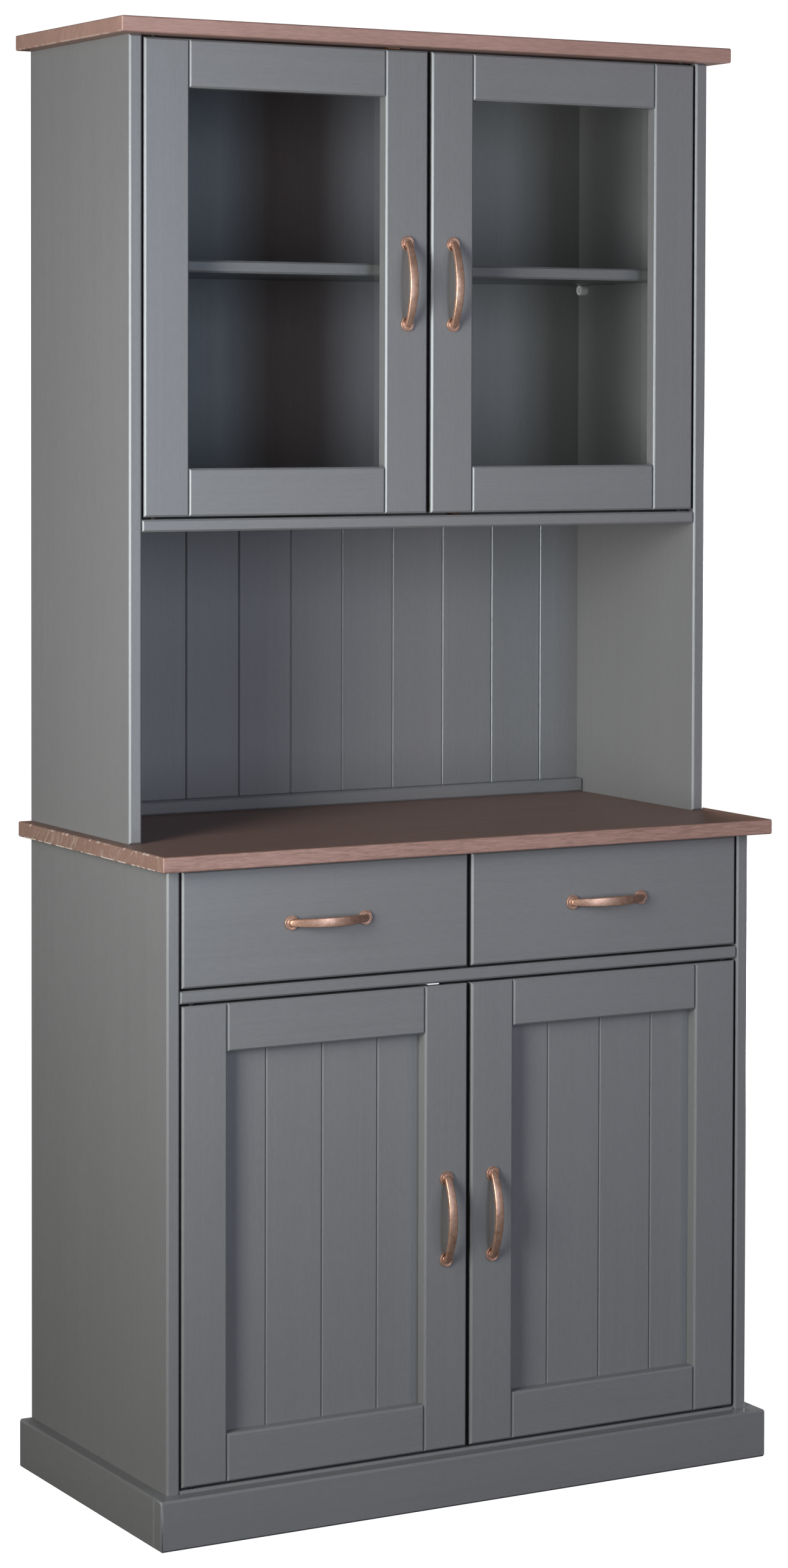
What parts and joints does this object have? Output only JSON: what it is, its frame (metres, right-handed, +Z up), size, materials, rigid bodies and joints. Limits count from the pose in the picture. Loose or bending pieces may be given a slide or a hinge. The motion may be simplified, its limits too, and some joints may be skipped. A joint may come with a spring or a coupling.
{
  "type": "step back cupboard",
  "caption": "Tall painted cupboard: shallow glazed upper case over an open niche, standing on a deeper base with drawers above panelled doors, with stained tops and bow handles.",
  "frame": {"origin": "on the floor, under the middle of the whole object's box", "axes": "+Z up, +X to the right as seen from the front, +Y towards the back; doors and drawers face -Y"},
  "size_m": [0.906, 0.45, 1.9],
  "materials": {
    "grey_paint": "satin paint",
    "brown_pine": "brown stain, satin",
    "bare_pine": "bare",
    "copper": "antique copper plate",
    "glass": "clear",
    "white_plastic": "matt",
    "brown_plastic": "matt",
    "steel": "plain"
  },
  "bodies": {
    "case": {"top_board": "brown_pine", "worktop": "brown_pine", "upper_side_left": "grey_paint", "upper_side_right": "grey_paint", "upper_bottom_board": "grey_paint", "upper_shelf": "grey_paint", "upper_back_panel": "grey_paint", "niche_back_boards": "grey_paint", "niche_foot_rail": "grey_paint", "lower_side_left": "grey_paint", "lower_side_right": "grey_paint", "lower_bottom_board": "grey_paint", "lower_back_panel": "grey_paint", "drawer_board": "grey_paint", "drawer_divider": "grey_paint", "lower_shelf": "grey_paint", "plinth_front": "grey_paint", "plinth_sides": "grey_paint", "drawer_runners": "bare_pine", "case_dowels": "bare_pine", "shelf_supports": "white_plastic", "lower_door_stops": "white_plastic", "upper_door_stops": "brown_plastic", "hinge_pins": "steel"},
    "upper_left_door": {"upper_left_door_stiles": "grey_paint", "upper_left_door_rails": "grey_paint", "upper_left_door_glass": "glass", "upper_left_door_glass_beads": "grey_paint", "upper_left_door_handle": "copper", "upper_left_door_handle_screws": "steel", "upper_left_door_hinge_bushes": "brown_plastic"},
    "upper_right_door": {"upper_right_door_stiles": "grey_paint", "upper_right_door_rails": "grey_paint", "upper_right_door_glass": "glass", "upper_right_door_glass_beads": "grey_paint", "upper_right_door_handle": "copper", "upper_right_door_handle_screws": "steel", "upper_right_door_hinge_bushes": "brown_plastic"},
    "lower_left_door": {"lower_left_door_stiles": "grey_paint", "lower_left_door_rails": "grey_paint", "lower_left_door_panel_boards": "grey_paint", "lower_left_door_handle": "copper", "lower_left_door_handle_screws": "steel", "lower_left_door_hinge_bushes": "brown_plastic"},
    "lower_right_door": {"lower_right_door_stiles": "grey_paint", "lower_right_door_rails": "grey_paint", "lower_right_door_panel_boards": "grey_paint", "lower_right_door_handle": "copper", "lower_right_door_handle_screws": "steel", "lower_right_door_hinge_bushes": "brown_plastic"},
    "left_drawer": {"left_drawer_front": "grey_paint", "left_drawer_box_walls": "bare_pine", "left_drawer_bottom": "bare_pine", "left_drawer_handle": "copper", "left_drawer_handle_screws": "steel"},
    "right_drawer": {"right_drawer_front": "grey_paint", "right_drawer_box_walls": "bare_pine", "right_drawer_bottom": "bare_pine", "right_drawer_handle": "copper", "right_drawer_handle_screws": "steel"}
  },
  "joints": [
    {"name": "upper_left_door_hinge", "type": "hinge", "parent": "case", "child": "upper_left_door", "pos_m": [-0.394, -0.0765, 1.576], "axis": [0, 0, -1], "range_deg": [0, 105]},
    {"name": "upper_right_door_hinge", "type": "hinge", "parent": "case", "child": "upper_right_door", "pos_m": [0.394, -0.0765, 1.576], "axis": [0, 0, 1], "range_deg": [0, 105]},
    {"name": "lower_left_door_hinge", "type": "hinge", "parent": "case", "child": "lower_left_door", "pos_m": [-0.394, -0.1875, 0.371], "axis": [0, 0, -1], "range_deg": [0, 105]},
    {"name": "lower_right_door_hinge", "type": "hinge", "parent": "case", "child": "lower_right_door", "pos_m": [0.394, -0.1875, 0.371], "axis": [0, 0, 1], "range_deg": [0, 105]},
    {"name": "left_drawer_slide", "type": "slide", "parent": "case", "child": "left_drawer", "axis": [0, -1, 0], "range_m": [0, 0.27]},
    {"name": "right_drawer_slide", "type": "slide", "parent": "case", "child": "right_drawer", "axis": [0, -1, 0], "range_m": [0, 0.27]}
  ]
}
